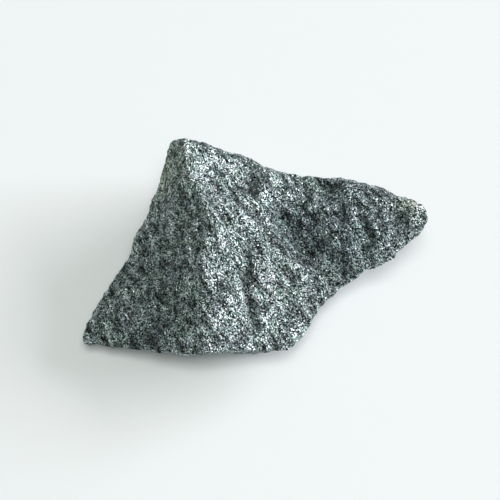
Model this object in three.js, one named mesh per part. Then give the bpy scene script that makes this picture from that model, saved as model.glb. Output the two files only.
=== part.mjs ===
// A hand specimen of massive, fine-grained magnetite: one broken lump, about 70 mm from its toe to its sharp end,
// lying on the flat of its underside.
//
// Its upper side is a terrain of broken faces, given by the lines on which they meet. Its underside runs in from the
// outline to the flat. The two sides are triangulated, joined along the outline, cut into small triangles, worn a
// little at the edges, and roughened with swellings, hollows, furrows and chips.
//
// Millimetres, +Z up. +X runs along the lump from its toe to its sharp end, and +Y to its steep back.

import * as THREE from "three";
import { ImprovedNoise } from "three/addons/math/ImprovedNoise.js";

// ---- Driving dimensions ------------------------------------------------------------------------------------------

const UPPER_EDGE = 1.48; // longest edge of the finished triangles that face up
const UNDER_EDGE = 2.0; // and of the others
const WEAR_ROUNDS = 2; // how often the broken edges are worn
const WEAR_SHARE = 0.35; // how far one round moves a point to the middle of its neighbours
const CRUST = 0.2; // what stands out over the whole surface, and makes up for the wear
const CHIP_SIZE = 3.2; // of the chips that make the edges uneven
const CHIP_DEPTH = 0.32;
const FLAT_CUT = 0.8; // how much of the rough underside the flat takes off

// ---- Corners, each [x, y, z] -------------------------------------------------------------------------------------

// The outline, seen from above and anticlockwise. It hangs over all round, high at the peak and low at the toe.
const flankEdge = [
  [-15.4, 14.3, 16.2],
  [-16.4, 12.4, 15.5],
  [-17.5, 7.7, 13.5],
  [-19.9, 1.9, 11.5],
  [-22.5, -2.9, 10.0],
  [-23.6, -6.7, 8.6],
  [-26.4, -10.7, 7.4],
  [-30.6, -17.8, 5.8],
];
const toe = [
  [-32.3, -22.2, 5.2],
  [-31.5, -23.7, 4.8],
];
const frontEdge = [
  [-26.9, -24.3, 5.2],
  [-22.4, -25.1, 6.5],
  [-17.2, -26.6, 8.2],
  [-12.9, -27.7, 10.1],
  [-8.4, -28.5, 11.4],
  [-4.0, -27.6, 10.7],
  [0.0, -27.1, 9.8],
  [4.1, -26.9, 8.9],
  [7.4, -26.3, 8.1],
];
const rightEdge = [
  [8.9, -24.5, 7.8],
  [11.1, -20.9, 7.6],
  [13.4, -17.3, 7.2],
  [16.9, -13.1, 7.8],
  [22.3, -10.2, 9.2],
  [26.6, -9.0, 11.0],
  [29.5, -6.5, 12.0],
  [32.7, -3.9, 13.2],
];
const sharpEnd = [
  [34.0, -1.8, 14.9],
  [33.7, 1.1, 14.2],
];
const backFoot = [
  [27.5, 6.8, 10.6],
  [20.5, 9.0, 8.5],
  [13.0, 11.0, 6.0],
  [7.0, 12.8, 4.0],
  [0.0, 15.2, 3.0],
  [-7.0, 17.0, 3.5],
  [-12.6, 16.8, 8.0],
];
const outline = [
  ...flankEdge,
  ...toe,
  ...frontEdge,
  ...rightEdge,
  ...sharpEnd,
  ...backFoot,
];

// The lines of the upper side.
const peak = [
  [-14.5, 13.9, 19.2],
  [-12.5, 12.7, 20.6],
];
const backEdge = [
  [-10.6, 12.8, 19.8],
  [-8.9, 13.1, 19.0],
  [-5.0, 12.4, 17.3],
  [-1.7, 11.9, 16.3],
  [2.3, 10.0, 15.6],
  [7.8, 8.8, 14.7],
  [10.1, 8.6, 14.3],
  [12.6, 8.4, 14.2],
  [17.8, 8.0, 14.5],
  [20.1, 7.0, 14.2],
  [23.4, 6.1, 14.5],
  [26.6, 5.2, 14.5],
  [32.2, 2.0, 14.9],
];
const backRim = [
  [19.3, 5.5, 15.1],
  [23.1, 4.2, 15.0],
];
const crest = [
  [-12.4, 8.7, 20.7],
  [-11.9, 5.8, 20.3],
  [-10.0, 2.5, 19.5],
  [-8.3, -1.3, 18.7],
  [-7.1, -4.9, 17.8],
  [-8.7, -8.7, 17.3],
  [-8.9, -11.7, 16.6],
  [-8.7, -14.9, 15.5],
  [-8.7, -18.8, 14.2],
  [-8.6, -24.1, 12.4],
];
const crestFoot = [
  [-10.5, 9.4, 19.0],
  [-10.1, 6.0, 18.5],
  [-8.0, 1.7, 17.9],
];
const crestShoulder = [
  [-6.9, 8.5, 17.5],
  [-5.7, 4.2, 17.1],
  [-5.1, -1.1, 17.4],
  [-4.5, -6.4, 16.4],
  [-5.2, -10.9, 15.2],
  [-5.4, -16.6, 13.9],
  [-5.3, -23.0, 12.2],
];
const flank = [
  [-14.8, 7.5, 17.4],
  [-14.0, 1.5, 17.2],
  [-15.3, -5.0, 14.0],
  [-16.0, -12.4, 11.6],
  [-18.7, -18.7, 9.6],
  [-13.8, -20.7, 10.6],
  [-24.5, -18.9, 8.2],
  [-29.0, -20.7, 6.9],
];
const upperSlope = [
  [-2.7, 9.5, 16.1],
  [-1.9, 5.1, 15.7],
  [-1.3, -0.5, 15.4],
  [-0.8, -6.0, 14.1],
  [-1.1, -11.3, 12.8],
  [-0.7, -17.3, 11.3],
  [-0.6, -22.7, 10.4],
];
const lowerSlope = [
  [2.3, 6.8, 16.0],
  [2.7, 3.3, 15.0],
  [2.3, -0.6, 14.0],
  [1.5, -7.8, 14.2],
  [4.9, -6.8, 12.6],
  [1.5, -12.7, 12.7],
  [4.9, -12.1, 11.5],
  [4.1, -16.9, 10.6],
  [4.1, -22.4, 9.8],
  [8.7, -12.6, 10.4],
];
const valley = [
  [6.6, 5.6, 13.9],
  [6.0, 1.5, 12.8],
  [7.9, -2.9, 11.5],
  [9.9, -6.1, 10.5],
  [13.2, -8.1, 9.5],
  [18.0, -10.0, 8.6],
];
const valleyBank = [
  [10.4, 1.6, 13.3],
  [12.1, -2.9, 12.3],
  [13.9, -6.4, 11.0],
];
const wingLip = [
  [13.5, 5.6, 14.3],
  [14.4, 0.6, 13.5],
  [15.2, -4.3, 12.7],
  [17.5, -8.0, 11.2],
];
const wing = [
  [17.7, 3.5, 14.7],
  [19.1, -0.6, 14.1],
  [22.2, 1.0, 14.3],
  [26.9, 3.0, 14.7],
  [25.1, -3.4, 14.2],
  [28.7, 0.4, 13.9],
  [30.5, 0.5, 15.2],
  [28.6, -4.3, 12.7],
  [31.1, -2.4, 14.8],
  [19.0, -6.0, 12.6],
  [22.8, -5.3, 12.9],
  [25.6, -6.5, 13.1],
  [21.3, -8.4, 11.5],
];
const upperSide = [
  ...peak,
  ...backEdge,
  ...backRim,
  ...crest,
  ...crestFoot,
  ...crestShoulder,
  ...flank,
  ...upperSlope,
  ...lowerSlope,
  ...valley,
  ...valleyBank,
  ...wingLip,
  ...wing,
];

// The lines of the underside: the belly under the flank and the toe, the belly under the wing, and the flat.
const flankBelly = [
  [-28.4, -21.3, 3.6],
  [-24.5, -20.2, 2.6],
  [-19.0, -20.0, 2.0],
  [-18.0, -13.0, 2.8],
  [-16.6, -3.0, 4.8],
  [-15.2, 6.0, 6.6],
  [-12.2, 12.6, 5.2],
];
const wingBelly = [
  [15.5, -9.5, 3.4],
  [16.0, -2.0, 2.6],
  [22.5, -3.5, 6.2],
  [27.0, 1.0, 7.8],
  [31.2, 0.6, 10.0],
  [19.5, 4.4, 5.0],
  [12.5, 7.4, 2.4],
];
const flat = [
  [-10.5, -20.5],
  [-2.0, -21.5],
  [5.5, -18.0],
  [9.5, -10.0],
  [10.0, -1.5],
  [7.0, 6.0],
  [0.0, 10.5],
  [-7.0, 11.5],
  [-11.5, 5.0],
  [-12.8, -5.0],
  [-13.0, -14.0],
  [-3.0, -12.0],
  [-3.0, 0.0],
].map(([x, y]) => [x, y, -FLAT_CUT]);
const underside = [...flankBelly, ...wingBelly, ...flat];

// ---- Forms on the upper side -------------------------------------------------------------------------------------

// Each is [x, y, half length, half width, turn of its length from +X in degrees, height].
const swellings = [
  [3.7, 6.5, 2.0, 1.0, -75, 0.35],
  [18.7, 4.9, 1.6, 1.0, -70, 0.5],
  [13.7, 2.7, 1.4, 0.8, -60, 0.3],
  [-1.7, -1.3, 1.6, 0.9, -55, 0.45],
  [-8.3, -2.0, 1.6, 0.7, -65, 0.25],
  [-4.4, 10.4, 1.8, 1.0, -60, 0.35],
  [0.8, -12.9, 2.0, 0.9, -60, 0.4],
  [9.0, -18.3, 2.0, 0.7, -52, 0.4],
  [11.3, -16.0, 1.6, 0.7, -45, 0.35],
  [2.1, -8.2, 3.0, 1.2, -60, 0.5],
  [-3.9, -16.4, 2.6, 1.1, -70, 0.35],
  [-2.2, -20.1, 1.8, 0.9, -60, 0.3],
  [2.0, -20.4, 2.0, 0.8, -55, 0.3],
  [9.5, -10.1, 1.8, 0.8, -45, 0.35],
  [12.9, -13.4, 1.6, 0.8, -50, 0.4],
  [20.3, 0.0, 1.8, 1.0, -60, 0.3],
  [23.1, -0.1, 1.6, 0.7, -60, 0.4],
  [18.6, -8.1, 1.8, 1.0, -60, 0.35],
  [15.7, -2.5, 1.6, 0.9, -60, 0.3],
  [-23.6, -17.5, 2.2, 1.2, -62, 0.55],
  [-27.6, -18.9, 2.0, 1.2, -62, 0.5],
  [-15.2, -22.4, 2.0, 1.0, -62, 0.55],
  [-19.1, -4.2, 2.8, 1.5, -60, 0.65],
  [-11.8, -11.9, 1.8, 1.2, -60, 0.3],
  [-13.7, 4.5, 1.8, 1.0, -70, 0.3],
];
const hollows = [
  [0.0, 5.0, 2.8, 1.4, -75, 0.5],
  [-7.1, 4.6, 1.8, 0.8, -70, 0.35],
  [15.2, 5.0, 1.8, 1.3, -60, 1.0],
  [4.6, 1.1, 2.2, 1.2, -65, 0.3],
  [6.5, -1.9, 3.4, 0.9, -60, 0.55],
  [9.8, -4.8, 3.2, 1.4, -60, 0.9],
  [-5.3, -2.2, 3.6, 0.9, -57, 0.6],
  [-0.8, -12.4, 2.2, 1.1, -62, 0.6],
  [0.0, -18.2, 2.2, 0.8, -58, 0.5],
  [7.1, -18.6, 2.0, 0.8, -55, 0.5],
  [9.6, -15.4, 1.6, 0.6, -50, 0.4],
  [5.0, -23.2, 1.8, 0.8, -50, 0.35],
  [16.9, 1.6, 1.8, 1.1, -60, 0.4],
  [21.2, 0.4, 1.4, 0.7, -60, 0.35],
  [21.1, -4.3, 2.0, 1.0, -60, 0.35],
  [23.7, -8.0, 1.6, 0.9, -60, 0.35],
  [17.5, -6.2, 1.6, 0.7, -60, 0.35],
  [-19.0, -9.6, 3.0, 2.0, -60, 0.5],
  [-10.9, -1.2, 2.2, 1.3, -75, 0.4],
  [-19.4, -22.1, 2.6, 1.4, -50, 0.5],
  [-12.1, -17.9, 2.2, 1.2, -60, 0.35],
  [-13.9, -7.6, 1.8, 1.0, -60, 0.35],
  [-17.4, 5.0, 2.2, 1.1, -70, 0.3],
];
const forms = [
  ...swellings,
  ...hollows.map(([x, y, length, width, turned, depth]) => [x, y, length, width, turned, -depth]),
];

// ---- Triangles ---------------------------------------------------------------------------------------------------

// Whether point p lies inside the circle through a, b and c, which run anticlockwise.
function inCircle(a, b, c, p) {
  const rows = [a, b, c].map(([x, y]) => {
    const dx = x - p[0];
    const dy = y - p[1];
    return [dx, dy, dx * dx + dy * dy];
  });
  return new THREE.Matrix3().set(...rows.flat()).determinant() > 0;
}

// The Delaunay triangles of points seen from above. Each point in turn takes out the triangles whose circle it is in,
// and is joined to the edge of the gap.
function delaunay(points) {
  const far = 1000;
  const first = points.length;
  const all = [...points, [-far, -far], [far, -far], [0, far]];
  let triangles = [[first, first + 1, first + 2]];
  points.forEach((point, index) => {
    const broken = triangles.filter(([a, b, c]) => inCircle(all[a], all[b], all[c], point));
    const edges = broken.flatMap(([a, b, c]) => [[a, b], [b, c], [c, a]]);
    const rim = edges.filter(([a, b]) => !edges.some(([c, d]) => a === d && b === c));
    triangles = triangles.filter((triangle) => !broken.includes(triangle));
    triangles.push(...rim.map(([a, b]) => [a, b, index]));
  });
  return triangles.filter((triangle) => triangle.every((index) => index < first));
}

// Whether the middle of a triangle lies inside the outline, by the edges that are passed on the way out.
function insideOutline(corners) {
  const x = (corners[0][0] + corners[1][0] + corners[2][0]) / 3;
  const y = (corners[0][1] + corners[1][1] + corners[2][1]) / 3;
  const passed = outline.filter(([bx, by], index) => {
    const [ax, ay] = outline.at(index - 1);
    return ay > y !== by > y && x < ((bx - ax) * (y - ay)) / (by - ay) + ax;
  });
  return passed.length % 2 === 1;
}

// The triangles of one side, as indices into the outline and then into that side's own points.
function triangulate(inner) {
  const points = [...outline, ...inner];
  return delaunay(points).filter((triangle) => insideOutline(triangle.map((index) => points[index])));
}

// The closed lump: the upper side as it is, and the underside turned to face down.
function closeLump() {
  const points = [...outline, ...upperSide, ...underside].map((corner) => new THREE.Vector3(...corner));
  const below = (index) => (index < outline.length ? index : index + upperSide.length);
  const triangles = [
    ...triangulate(upperSide),
    ...triangulate(underside).map(([a, b, c]) => [below(a), below(c), below(b)]),
  ];
  return { points, triangles };
}

// A triangle a, b, c whose edges at b are cut: its tip, and the rest parted along its shorter diagonal.
function partTwo(points, a, ab, b, bc, c) {
  return points[a].distanceTo(points[bc]) < points[ab].distanceTo(points[c])
    ? [[ab, b, bc], [a, ab, bc], [a, bc, c]]
    : [[ab, b, bc], [a, ab, c], [ab, bc, c]];
}

// The triangles into which one is parted, given the middles of those of its edges that are cut.
function part(points, [a, b, c], [ab, bc, ca]) {
  const uncut = [ab, bc, ca].filter((middle) => middle === undefined).length;
  if (uncut === 3) return [[a, b, c]];
  if (uncut === 0) return [[a, ab, ca], [ab, b, bc], [ca, bc, c], [ab, bc, ca]];
  if (uncut === 1 && ca === undefined) return partTwo(points, a, ab, b, bc, c);
  if (uncut === 1 && ab === undefined) return partTwo(points, b, bc, c, ca, a);
  if (uncut === 1) return partTwo(points, c, ca, a, ab, b);
  if (ab !== undefined) return [[a, ab, c], [ab, b, c]];
  if (bc !== undefined) return [[a, b, bc], [a, bc, c]];
  return [[a, b, ca], [ca, b, c]];
}

// Cuts each edge that is too long in two, in both of its triangles.
function cutEdges({ points, triangles }, tooLong) {
  const middles = new Map();
  const middle = (a, b) => {
    if (!tooLong(a, b)) return undefined;
    const key = a < b ? `${a},${b}` : `${b},${a}`;
    if (!middles.has(key)) {
      middles.set(key, points.length);
      points.push(points[a].clone().lerp(points[b], 0.5));
    }
    return middles.get(key);
  };
  const parted = triangles.flatMap(([a, b, c]) => {
    const cuts = [middle(a, b), middle(b, c), middle(c, a)];
    return part(points, [a, b, c], cuts);
  });
  return { points, triangles: parted };
}

// ---- Wear --------------------------------------------------------------------------------------------------------

// How the surface lies at each point: the direction it faces, and how flat it is there, 1 in a plane.
function lie({ points, triangles }) {
  const sums = points.map(() => new THREE.Vector3());
  const areas = points.map(() => 0);
  for (const [a, b, c] of triangles) {
    const across = points[b].clone().sub(points[a]);
    const area = across.cross(points[c].clone().sub(points[a]));
    for (const index of [a, b, c]) {
      sums[index].add(area);
      areas[index] += area.length();
    }
  }
  return sums.map((sum, index) => ({ flatness: sum.length() / areas[index], normal: sum.normalize() }));
}

// The vector from each point to the middle of its neighbours.
function pulls({ points, triangles }) {
  const sums = points.map(() => new THREE.Vector3());
  const counts = points.map(() => 0);
  for (const [a, b, c] of triangles) {
    for (const [from, to] of [[a, b], [b, c], [c, a]]) {
      sums[from].add(points[to]);
      counts[from] += 1;
    }
  }
  return sums.map((sum, index) => sum.divideScalar(counts[index]).sub(points[index]));
}

// Evens out the triangles: each point slides within the surface to the middle of its neighbours, but keeps to an edge.
function evenOut(lump, rounds) {
  for (let round = 0; round < rounds; round += 1) {
    const lies = lie(lump);
    pulls(lump).forEach((pull, index) => {
      const { flatness, normal } = lies[index];
      pull.addScaledVector(normal, -pull.dot(normal));
      lump.points[index].addScaledVector(pull, 0.6 * THREE.MathUtils.smoothstep(flatness, 0.94, 0.995));
    });
  }
}

// Wears the broken edges: each point moves a share of the way to the middle of its neighbours.
function wear(lump, rounds, share) {
  for (let round = 0; round < rounds; round += 1) {
    pulls(lump).forEach((pull, index) => lump.points[index].addScaledVector(pull, share));
  }
}

// ---- Relief ------------------------------------------------------------------------------------------------------

const perlin = new ImprovedNoise();

// Smooth noise from -1 to 1, with one swell to each size.
function swell(p, size, shift) {
  return perlin.noise(p.x / size + shift, p.y / size - shift, p.z / size + 2 * shift);
}

// Rounded lumps with creases between them, from -1 to 1.
function lumps(p, size, shift) {
  return 4 * Math.abs(swell(p, size, shift)) - 1;
}

// Furrows, longer than they are wide, that run down the middle face, from -1 to 1.
const FURROW_RUN = new THREE.Vector3(0.5, -0.7, -0.51).normalize();
function furrows(p, length, width, shift) {
  const along = p.dot(FURROW_RUN);
  return lumps(p.clone().addScaledVector(FURROW_RUN, along * (width / length - 1)), width, shift);
}

// The height of the swellings and hollows at a point.
function formsAt(p) {
  return forms.reduce((height, [x, y, length, width, turned, rise]) => {
    const angle = THREE.MathUtils.degToRad(turned);
    const along = (p.x - x) * Math.cos(angle) + (p.y - y) * Math.sin(angle);
    const across = (p.y - y) * Math.cos(angle) - (p.x - x) * Math.sin(angle);
    return height + rise * Math.exp(-((along / length) ** 2) - (across / width) ** 2);
  }, 0);
}

// How far a point lies from the outline.
const outlineEdges = outline.map((corner, index) => {
  return new THREE.Line3(new THREE.Vector3(...outline.at(index - 1)), new THREE.Vector3(...corner));
});
function fromOutline(p) {
  const nearest = new THREE.Vector3();
  return Math.min(...outlineEdges.map((edge) => edge.closestPointToPoint(p, true, nearest).distanceTo(p)));
}

// How far the surface stands out of the broken faces, or in from them.
function relief(p, normal) {
  const upward = THREE.MathUtils.smoothstep(normal.z, 0.1, 0.5);
  const onMiddle = upward * THREE.MathUtils.smoothstep(p.x, -10, -7) * (1 - THREE.MathUtils.smoothstep(p.x, 8, 13));
  const onWing = upward * THREE.MathUtils.smoothstep(p.x, 9, 13);
  let height = 0.2 * swell(p, 13, 3.7) + 0.2 * swell(p, 6.5, 9.1) + 0.12 * lumps(p, 4.4, 1.3);
  height += onMiddle * 0.14 * furrows(p, 6, 2.4, 5.9);
  height += onWing * 0.16 * lumps(p, 3, 7.7);
  height += (1 - upward) * 0.5 * lumps(p, 8, 4.2);
  return height + upward * formsAt(p);
}

// Raises the relief, which dies away at the thin edge of the outline, and knocks chips from all edges.
function roughen(lump) {
  const lies = lie(lump);
  const heights = lump.points.map((p, index) => {
    return relief(p, lies[index].normal) * THREE.MathUtils.smoothstep(fromOutline(p), 0, 2.5);
  });
  lump.points.forEach((p, index) => {
    const chip = [1.1, 4.5, 8.3].map((shift) => CHIP_DEPTH * swell(p, CHIP_SIZE, shift));
    p.addScaledVector(lies[index].normal, CRUST + heights[index]).add(new THREE.Vector3(...chip));
  });
}

// ---- The lump ----------------------------------------------------------------------------------------------------

function makeLump() {
  let lump = closeLump();
  const spans = (a, b) => lump.points[a].distanceTo(lump.points[b]);
  for (const limit of [12, 8, 5.5, 3.8, 2.8, UNDER_EDGE]) {
    lump = cutEdges(lump, (a, b) => spans(a, b) > limit);
    evenOut(lump, 2);
  }
  const lies = lie(lump);
  const facesUp = (index) => lies[index].normal.z > 0;
  lump = cutEdges(lump, (a, b) => facesUp(a) && facesUp(b) && spans(a, b) > UPPER_EDGE);
  evenOut(lump, 3);
  wear(lump, WEAR_ROUNDS, WEAR_SHARE);
  roughen(lump);
  for (const p of lump.points) p.z = Math.max(p.z, 0);

  const geometry = new THREE.BufferGeometry().setFromPoints(lump.points);
  geometry.setIndex(lump.triangles.flat());
  geometry.computeBoundingBox();
  const middle = geometry.boundingBox.getCenter(new THREE.Vector3());
  geometry.translate(-middle.x, -middle.y, 0);
  geometry.computeVertexNormals();
  return geometry;
}

const magnetite = new THREE.MeshStandardMaterial({
  color: 0x4c5453,
  roughness: 0.5,
  metalness: 0.6,
  flatShading: true,
});

const specimen = new THREE.Group();
const lump = new THREE.Mesh(makeLump(), magnetite);
lump.name = "magnetite_lump";
specimen.add(lump);

export default specimen;
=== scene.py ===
"""The looks of a hand specimen of massive magnetite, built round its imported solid."""

import math

import bpy
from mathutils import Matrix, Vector
from mathutils.kdtree import KDTree


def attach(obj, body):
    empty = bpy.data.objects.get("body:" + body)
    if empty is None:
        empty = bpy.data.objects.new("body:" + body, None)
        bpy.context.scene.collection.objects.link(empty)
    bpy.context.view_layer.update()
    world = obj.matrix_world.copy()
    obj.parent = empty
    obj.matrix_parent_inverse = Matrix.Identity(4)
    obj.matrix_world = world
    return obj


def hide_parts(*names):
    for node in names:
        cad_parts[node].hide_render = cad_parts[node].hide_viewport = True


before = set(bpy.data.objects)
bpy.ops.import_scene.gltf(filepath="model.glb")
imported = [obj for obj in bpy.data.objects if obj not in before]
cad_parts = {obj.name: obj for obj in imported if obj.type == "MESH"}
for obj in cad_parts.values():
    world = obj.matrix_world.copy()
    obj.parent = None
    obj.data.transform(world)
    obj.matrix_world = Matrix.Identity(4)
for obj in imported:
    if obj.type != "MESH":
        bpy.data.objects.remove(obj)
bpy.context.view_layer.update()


# ---- The lump ----------------------------------------------------------------------------------------------------
# One broken piece of massive magnetite, a mass of grown-together grains about 0.4 mm across. It was knocked from a
# bigger block, so every face is a rough break that runs round the grains and through some of them.

MM = 0.001
WELD = 0.001 * MM  # points closer than this are one point
CUTS = 3  # on each edge of the solid
BLEND_SHARE = 0.5  # how far a point moves towards the middle of its neighbours in one round
BLEND_ROUNDS = 5
FLAT_HEIGHT = 0.02 * MM  # what is lower than this is the flat that the lump rests on
EDGE_LEAN = 0.25  # the surface counts as edge where its normal is this close to level
EDGE_BAND = 3.0 * MM  # how far in from the edge the breaks reach their full roughness
EDGE_SHARE = 0.12  # how rough the edge itself is, as a share of that


def copy_of_node(node, name):
    """A new object with a copy of a node's mesh, its loose triangles joined."""
    piece = bpy.data.objects.new(name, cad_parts[node].data.copy())
    bpy.context.scene.collection.objects.link(piece)
    bpy.ops.object.select_all(action="DESELECT")
    bpy.context.view_layer.objects.active = piece
    piece.select_set(True)
    bpy.ops.object.mode_set(mode="EDIT")
    bpy.ops.mesh.select_all(action="SELECT")
    bpy.ops.mesh.remove_doubles(threshold=WELD)
    bpy.ops.object.mode_set(mode="OBJECT")
    return piece


def apply_modifier(piece, kind, **settings):
    """Adds a modifier to the piece and applies it."""
    modifier = piece.modifiers.new(kind.title(), kind)
    for setting, value in settings.items():
        setattr(modifier, setting, value)
    bpy.ops.object.modifier_apply(modifier=modifier.name)


lump = copy_of_node("magnetite_lump", "lump")

# The faceted solid is cut four times finer and its facets are blended into one another.
bpy.ops.object.mode_set(mode="EDIT")
bpy.ops.mesh.select_all(action="SELECT")
bpy.ops.mesh.subdivide(number_cuts=CUTS, smoothness=0)
bpy.ops.object.mode_set(mode="OBJECT")
broken = lump.vertex_groups.new(name="broken")
broken.add([v.index for v in lump.data.vertices if v.co.z > FLAT_HEIGHT], 1.0, "REPLACE")
apply_modifier(lump, "SMOOTH", factor=BLEND_SHARE, iterations=BLEND_ROUNDS, vertex_group="broken")

# The thin edge between the upper side and the underside is more even than the breaks on both sides of it.
rim = [v.co.copy() for v in lump.data.vertices if abs(v.normal.z) < EDGE_LEAN]
rim_tree = KDTree(len(rim))
for index, place in enumerate(rim):
    rim_tree.insert(place, index)
rim_tree.balance()
for vertex in lump.data.vertices:
    if vertex.co.z > FLAT_HEIGHT:
        away = rim_tree.find(vertex.co)[2]
        broken.add([vertex.index], min(1.0, EDGE_SHARE + away / EDGE_BAND), "REPLACE")

# The breaks are roughened by ribs and furrows, broad ones and then narrow ones on them, all drawn out the way that
# the middle face slopes, and last by the grains.
SLOPE = Vector((0.5, -0.7, -0.51)).to_track_quat("X", "Z")  # turns x to run down the middle face
RIB_STRETCH = 8.0  # the ribs are this many times as long as they are wide
RIB_WIDTH, RIB_DEPTH = 1.3 * MM, 0.42 * MM
NARROW_RIB_WIDTH, NARROW_RIB_DEPTH = 0.65 * MM, 0.22 * MM
GRAIN_WIDTH, GRAIN_DEPTH = 0.4 * MM, 0.05 * MM


def roughen(piece, width, depth, octaves, along=None):
    """Pushes the broken surface in and out along its normals by smooth noise with features of the given width."""
    clouds = bpy.data.textures.new(f"relief_{width / MM:.2f}", "CLOUDS")
    clouds.noise_scale = width
    clouds.noise_depth = octaves
    coords = {"texture_coords": "OBJECT", "texture_coords_object": along} if along else {"texture_coords": "LOCAL"}
    apply_modifier(piece, "DISPLACE", texture=clouds, strength=depth, vertex_group="broken", **coords)


grainway = bpy.data.objects.new("grainway", None)
grainway.rotation_euler = SLOPE.to_euler()
grainway.scale = (RIB_STRETCH, 1.0, 1.0)
bpy.context.scene.collection.objects.link(grainway)
bpy.context.view_layer.update()
roughen(lump, RIB_WIDTH, RIB_DEPTH, octaves=1, along=grainway)
roughen(lump, NARROW_RIB_WIDTH, NARROW_RIB_DEPTH, octaves=1, along=grainway)
roughen(lump, GRAIN_WIDTH, GRAIN_DEPTH, octaves=0)
bpy.data.objects.remove(grainway)
for vertex in lump.data.vertices:
    vertex.co.z = max(vertex.co.z, 0.0)
bpy.ops.object.shade_smooth()

# A broken grain shows several small faces, and each catches the light by itself. A few rare ones stand well out of
# the surface and flash.
FACE_WIDTH = 0.14 * MM
FACE_RUN = (0.6, 1.0, 1.0)  # a share below one draws the faces out down the slope
BEND_WIDTH, BEND_REACH = 0.3 * MM, 0.08 * MM  # the bends in the outlines of the faces
BUMP_WIDTH, BUMP_DEPTH = 0.38 * MM, 0.06 * MM
SHUFFLE = 11.0  # parts the choice of the rare faces from their hue
RARITY = 12.0  # the higher, the fewer
LEAN, RARE_LEAN = 1.20, 4.0  # how far the faces lean off the surface, and how much further the rare ones do
RARE_GLEAM, RARE_POLISH = 1.3, 0.5  # how much brighter and smoother the rare ones are
ROUGHNESS = (0.50, 0.90)  # of the smoothest and the dullest of the other faces
METALLIC = 0.88
TONES = [  # from the darkest faces to the brightest
    (0.0, (0.0055, 0.0112, 0.0118)),
    (0.50, (0.030, 0.0475, 0.0490)),
    (0.8, (0.375, 0.465, 0.465)),
    (1.0, (0.75, 0.86, 0.85)),
]
HUES = [(0.0, (0.92, 1.0, 1.02)), (1.0, (1.08, 1.0, 0.98))]  # cooler and warmer faces

# Streaks a few grains wide are richer or poorer in bright faces, and areas of some millimetres are a little greener
# or more violet.
STREAK_WIDTH = 1.3 * MM
STREAK_RUN = (0.3, 1.0, 1.0)  # the same, for the streaks
STREAK_SPAN = (0.3, 0.7)  # the part of the noise that is used
STREAK_LIGHT = (0.22, 1.85)  # how much light the poorest and the richest streaks return
CAST_WIDTH = 3.0 * MM
CASTS = [(0.35, (0.97, 1.0, 0.96)), (0.65, (1.03, 0.99, 1.03))]

# Patches of tint and of painted light and shade: the centre of each patch and its reach, in mm, and its tint. The
# olive facet and the rind are the stone's own colour; the others paint in light where faces turn to the window and
# shade in the valley, in a hollow, on the wing and at the foot of the flank.
TINTS_AND_PAINTED_LIGHT = [
    ((-18.0, 14.5, 16.5), 9.5, (1.24, 1.25, 1.05)),  # the facet under the peak, a little olive
    ((-6.5, 13.5, 17.5), 10.0, (1.32, 1.32, 1.32)),  # painted light: the top of the middle face, where it turns to the window
    ((3.0, -3.0, 12.8), 9.0, (1.32, 1.32, 1.32)),  # painted light: the lower slope of the middle face, which turns to the window
    ((17.0, 3.0, 13.0), 14.0, (0.95, 0.96, 1.01)),  # the wing, a little cooler in hue and a little darker as painted shade
    ((3.5, 7.5, 13.8), 5.0, (0.72, 0.73, 0.75)),  # painted shade: the upper end of the valley
    ((8.0, 4.5, 12.0), 7.5, (0.76, 0.77, 0.81)),  # painted shade: the lower end of the valley
    ((19.5, 0.5, 13.6), 5.5, (0.78, 0.78, 0.80)),  # painted shade: a hollow in the wing
    ((-4.5, -20.9, 11.3), 5.5, (1.45, 1.45, 1.45)),  # painted light: the foot of the middle face, which turns to the window
    ((30.2, 8.0, 14.6), 4.0, (1.8, 1.65, 1.5)),  # the rind on the sharp end
    ((-19.5, -18.5, 8.0), 9.0, (0.70, 0.70, 0.72)),  # painted shade: the foot of the flank, which turns down towards the table
]


def node(tree, kind, inputs=(), **settings):
    """Adds a shader node, sets its settings, and fills its inputs with values or with links from other nodes."""
    made = tree.nodes.new(kind)
    for setting, value in settings.items():
        setattr(made, setting, value)
    for socket, value in dict(inputs).items():
        if isinstance(value, bpy.types.NodeSocket):
            tree.links.new(value, made.inputs[socket])
        else:
            made.inputs[socket].default_value = value
    return made


def number(tree, operation, *values):
    """The outcome of an operation on numbers."""
    return node(tree, "ShaderNodeMath", dict(enumerate(values)), operation=operation).outputs[0]


def vector(tree, operation, *values):
    """The outcome of an operation on vectors or colours."""
    return node(tree, "ShaderNodeVectorMath", dict(enumerate(values)), operation=operation).outputs[0]


def noise(tree, place, width, detail):
    """Smooth noise with features of the given width."""
    return node(tree, "ShaderNodeTexNoise", {"Vector": place, "Scale": 1 / width, "Detail": detail})


def ramp(tree, value, stops):
    """The colour at a value between 0 and 1, along stops that each have a position and a colour."""
    made = node(tree, "ShaderNodeValToRGB", {"Fac": value})
    marks = made.color_ramp.elements
    marks[0].position, marks[1].position = stops[0][0], stops[-1][0]
    marks[0].color, marks[1].color = (*stops[0][1], 1.0), (*stops[-1][1], 1.0)
    for position, tone in stops[1:-1]:
        marks.new(position).color = (*tone, 1.0)
    return made.outputs["Color"]


def painted_patch(tree, place, colour, centre, reach, tint):
    """The colour, multiplied by a tint in a soft round patch about a point. Some patches are the stone's own tints,
    and some paint in light and shade.
    """
    away = node(tree, "ShaderNodeVectorMath", {0: place, 1: Vector(centre) * MM}, operation="DISTANCE")
    fade = node(
        tree,
        "ShaderNodeMapRange",
        {"Value": away.outputs["Value"], "From Min": reach * MM, "From Max": 0.0},
        interpolation_type="SMOOTHSTEP",
    )
    mixed = node(
        tree,
        "ShaderNodeMix",
        {0: fade.outputs["Result"], 6: colour, 7: (*tint, 1.0)},
        data_type="RGBA",
        blend_type="MULTIPLY",
    )
    return mixed.outputs[2]


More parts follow.
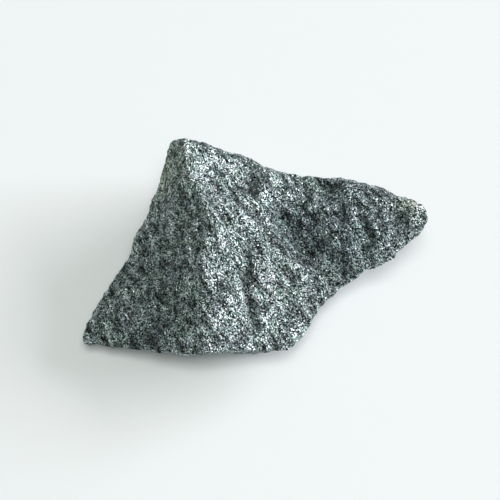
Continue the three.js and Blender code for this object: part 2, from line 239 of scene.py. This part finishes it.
def magnetite_material():
    """Dark, glossy grains whose small broken faces each return the light in their own way."""
    material = bpy.data.materials.new("magnetite")
    material.use_nodes = True
    tree = material.node_tree
    shader = tree.nodes["Principled BSDF"]
    place = node(tree, "ShaderNodeTexCoord").outputs["Object"]
    downhill = {"Vector": place, "Rotation": SLOPE.inverted().to_euler()}
    turned = node(tree, "ShaderNodeMapping", downhill).outputs["Vector"]

    # Each cell is one face, and its random colour gives it its lie, its tone, its hue and its gloss.
    drawn = vector(tree, "MULTIPLY", turned, FACE_RUN)
    bend = noise(tree, drawn, BEND_WIDTH, 1.0).outputs["Color"]
    bent = vector(tree, "MULTIPLY_ADD", bend, (BEND_REACH, BEND_REACH, BEND_REACH), drawn)
    face = node(tree, "ShaderNodeTexVoronoi", {"Vector": bent, "Scale": 1 / FACE_WIDTH}).outputs["Color"]
    pick = node(tree, "ShaderNodeSeparateColor", {"Color": face}).outputs
    chance = number(tree, "FRACT", number(tree, "MULTIPLY", pick["Red"], SHUFFLE))
    rare = number(tree, "POWER", chance, RARITY)

    # The faces lean off a surface that is itself uneven.
    uneven = noise(tree, drawn, BUMP_WIDTH, 2.0).outputs["Fac"]
    surface = node(tree, "ShaderNodeBump", {"Height": uneven, "Strength": 1.0, "Distance": BUMP_DEPTH})
    lie = vector(tree, "SUBTRACT", face, (0.5, 0.5, 0.5))
    lean = number(tree, "MULTIPLY_ADD", rare, RARE_LEAN, LEAN)
    leant = node(tree, "ShaderNodeVectorMath", {0: lie, 3: lean}, operation="SCALE").outputs[0]
    facing = vector(tree, "NORMALIZE", vector(tree, "ADD", leant, surface.outputs["Normal"]))

    # The tone of each face, more or less of it in the streaks, then the hues, the casts, and the patches of tint and
    # of painted light and shade.
    colour = ramp(tree, number(tree, "MULTIPLY_ADD", rare, RARE_GLEAM, pick["Green"]), TONES)
    streak = noise(tree, vector(tree, "MULTIPLY", turned, STREAK_RUN), STREAK_WIDTH, 2.0)
    (low, high), (poor, rich) = STREAK_SPAN, STREAK_LIGHT
    span = {"Value": streak.outputs["Fac"], "From Min": low, "From Max": high, "To Min": poor, "To Max": rich}
    wealth = node(tree, "ShaderNodeMapRange", span)
    colour = vector(tree, "MULTIPLY", colour, wealth.outputs["Result"])
    colour = vector(tree, "MULTIPLY", colour, ramp(tree, pick["Red"], HUES))
    area = noise(tree, place, CAST_WIDTH, 1.0)
    colour = vector(tree, "MULTIPLY", colour, ramp(tree, area.outputs["Fac"], CASTS))
    for centre, reach, tint in TINTS_AND_PAINTED_LIGHT:
        colour = painted_patch(tree, place, colour, centre, reach, tint)

    gloss = {"Value": pick["Blue"], "To Min": ROUGHNESS[0], "To Max": ROUGHNESS[1]}
    dull = node(tree, "ShaderNodeMapRange", gloss).outputs["Result"]
    tree.links.new(colour, shader.inputs["Base Color"])
    tree.links.new(number(tree, "MULTIPLY_ADD", rare, -RARE_POLISH, dull), shader.inputs["Roughness"])
    tree.links.new(facing, shader.inputs["Normal"])
    shader.inputs["Metallic"].default_value = METALLIC
    return material


lump.data.materials.clear()
lump.data.materials.append(magnetite_material())
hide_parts("magnetite_lump")
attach(lump, "root")


# ---- The floor, the light and the camera -------------------------------------------------------------------------
# A pale table top. A wide window stands low at the right and a little behind, a softer light hangs over the front,
# and a dim room fills in the rest.

FLOOR_SIDE = 8.0
FLOOR_TONE = (0.86, 0.865, 0.895, 1)
FLOOR_ROUGHNESS = 0.9
bpy.ops.mesh.primitive_plane_add(size=FLOOR_SIDE, location=(0, 0, 0))
floor = bpy.context.object
floor.name = "table_top"
paper = bpy.data.materials.new("table_top")
paper.use_nodes = True
paper_shader = paper.node_tree.nodes["Principled BSDF"]
paper_shader.inputs["Base Color"].default_value = FLOOR_TONE
paper_shader.inputs["Roughness"].default_value = FLOOR_ROUGHNESS
floor.data.materials.append(paper)


def soft_light(name, side, height, size, distance, power, colour):
    """A rectangular soft light that faces the lump from the given bearing and height, both in degrees."""
    bearing, rise = math.radians(side), math.radians(height)
    way = Vector((math.cos(bearing) * math.cos(rise), math.sin(bearing) * math.cos(rise), math.sin(rise)))
    light = bpy.data.lights.new(name, "AREA")
    light.shape = "RECTANGLE"
    light.size, light.size_y = size
    light.energy = power
    light.color = colour
    lamp = bpy.data.objects.new(name, light)
    lamp.location = way * distance
    lamp.rotation_euler = way.to_track_quat("Z", "Y").to_euler()
    bpy.context.scene.collection.objects.link(lamp)


soft_light("window", side=22, height=13, size=(2.6, 2.2), distance=3.0, power=162, colour=(0.96, 0.955, 1.0))
soft_light("overhead", side=276, height=73, size=(1.30, 1.30), distance=3.0, power=52, colour=(0.945, 1.0, 0.92))

ROOM_TONE = (0.95, 1.0, 0.96, 1)
ROOM_STRENGTH = 0.20
world = bpy.data.worlds.new("room")
world.use_nodes = True
room = world.node_tree.nodes["Background"]
room.inputs["Color"].default_value = ROOM_TONE
room.inputs["Strength"].default_value = ROOM_STRENGTH
bpy.context.scene.world = world
bpy.context.scene.view_settings.view_transform = "Standard"

ELEVATION = math.radians(60)
CAMERA_DISTANCE = 277.8 * MM
CAMERA_LENS = 100  # in mm
AIM = Vector((-1.07, 5.72, 0.0)) * MM
back = Vector((0, -math.cos(ELEVATION), math.sin(ELEVATION)))
camera = bpy.data.cameras.new("camera")
camera.lens = CAMERA_LENS
camera_object = bpy.data.objects.new("camera", camera)
camera_object.location = AIM + back * CAMERA_DISTANCE
camera_object.rotation_euler = back.to_track_quat("Z", "Y").to_euler()
bpy.context.scene.collection.objects.link(camera_object)
bpy.context.scene.camera = camera_object
